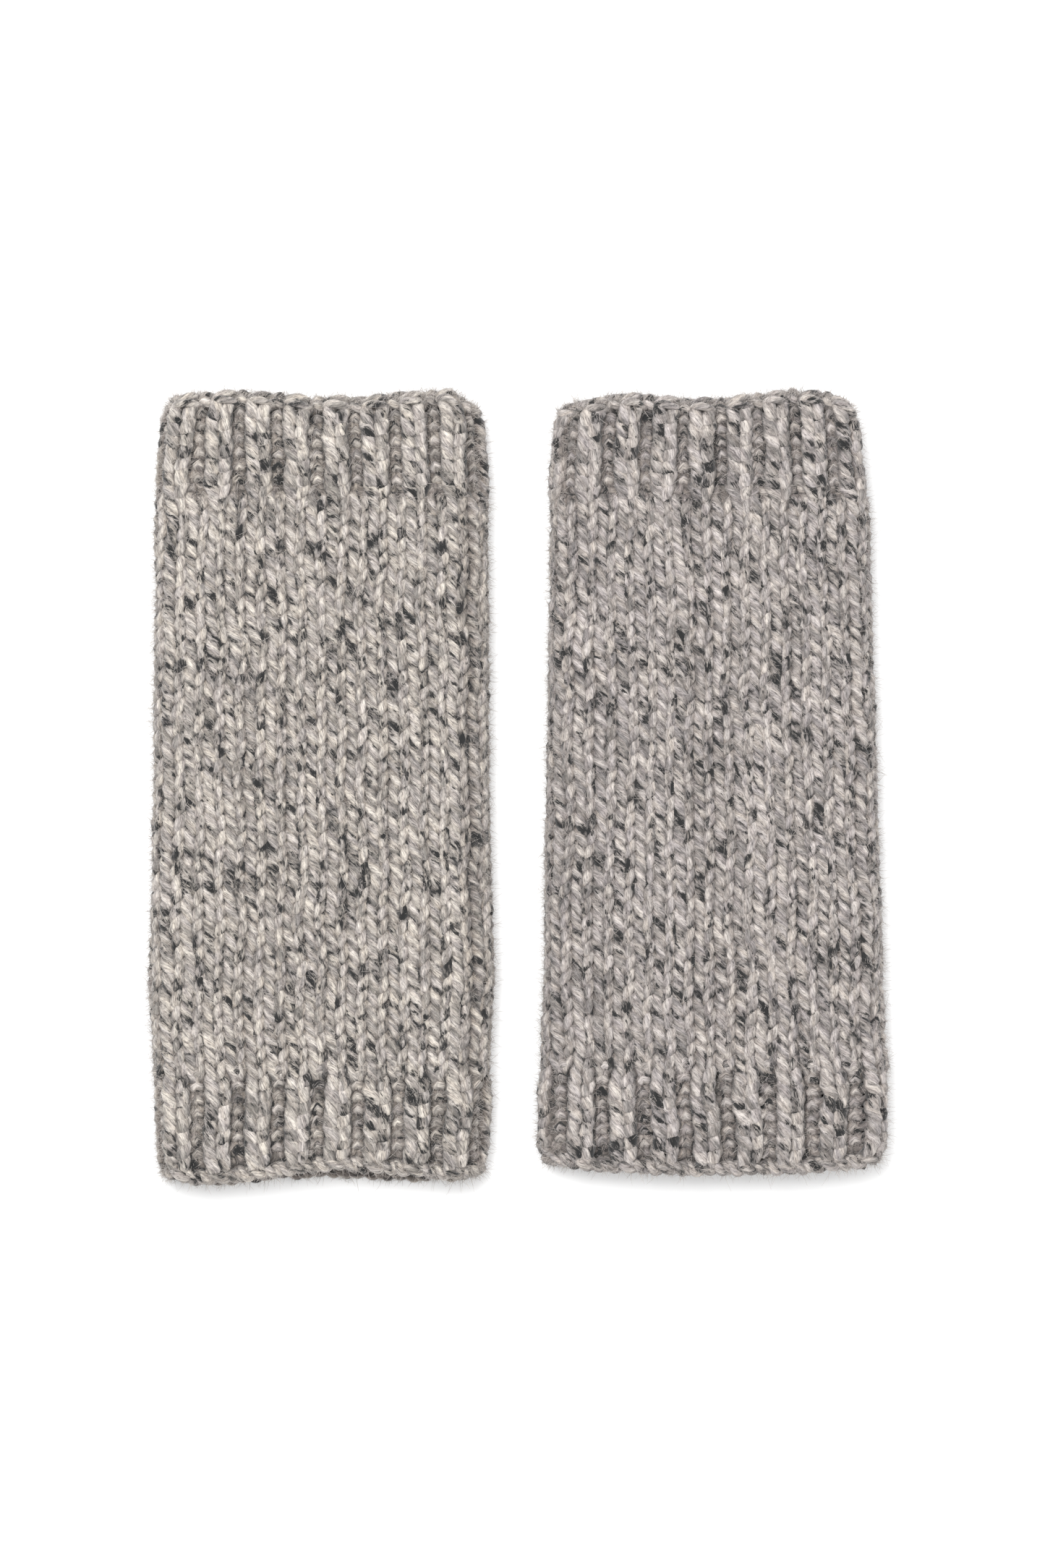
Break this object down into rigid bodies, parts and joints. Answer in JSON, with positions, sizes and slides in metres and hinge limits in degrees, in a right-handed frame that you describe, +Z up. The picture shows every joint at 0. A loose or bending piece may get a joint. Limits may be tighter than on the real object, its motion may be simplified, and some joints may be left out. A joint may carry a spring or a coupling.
{
  "type": "fingerless gloves",
  "caption": "Pair of chunky hand-knitted tweed wool fingerless gloves: open tubes with ribbed cuffs at both ends, lying flat side by side.",
  "frame": {"origin": "on the surface that the pair lies on, under the middle of the pair's outline", "axes": "+X from the left glove to the right one, +Y along both gloves to their finger ends, +Z up, away from the surface"},
  "size_m": [0.2126, 0.224, 0.0156],
  "materials": {
    "tweed_knitting": "matt, fuzzy heathered wool",
    "tweed_ribbing": "matt, fuzzy heathered wool",
    "seam_yarn": "matt wool yarn"
  },
  "bodies": {
    "left_forearm": {"left_cast_on_edge": "tweed_ribbing", "left_arm_rib": "tweed_ribbing", "left_forearm_tube": "tweed_knitting", "left_forearm_seam": "seam_yarn", "left_cast_on_tail": "seam_yarn"},
    "left_hand": {"left_hand_tube": "tweed_knitting", "left_finger_rib": "tweed_ribbing", "left_bind_off_edge": "tweed_ribbing", "left_hand_seam": "seam_yarn", "left_bind_off_tail": "seam_yarn"},
    "right_forearm": {"right_cast_on_edge": "tweed_ribbing", "right_arm_rib": "tweed_ribbing", "right_forearm_tube": "tweed_knitting", "right_forearm_seam": "seam_yarn", "right_cast_on_tail": "seam_yarn"},
    "right_hand": {"right_hand_tube": "tweed_knitting", "right_finger_rib": "tweed_ribbing", "right_bind_off_edge": "tweed_ribbing", "right_hand_seam": "seam_yarn", "right_bind_off_tail": "seam_yarn"}
  },
  "joints": [
    {"name": "left_wrist_bend", "type": "hinge", "parent": "left_forearm", "child": "left_hand", "pos_m": [-0.0566, 0.007, 0.0156], "axis": [1, 0, 0], "range_deg": [0, 45]},
    {"name": "right_glove_slide", "type": "slide", "parent": "left_forearm", "child": "right_forearm", "axis": [1, 0, 0], "range_m": [0, 0.08]},
    {"name": "right_wrist_bend", "type": "hinge", "parent": "right_forearm", "child": "right_hand", "pos_m": [0.0554, 0.0066, 0.0156], "axis": [1, 0, 0], "range_deg": [0, 45]}
  ]
}
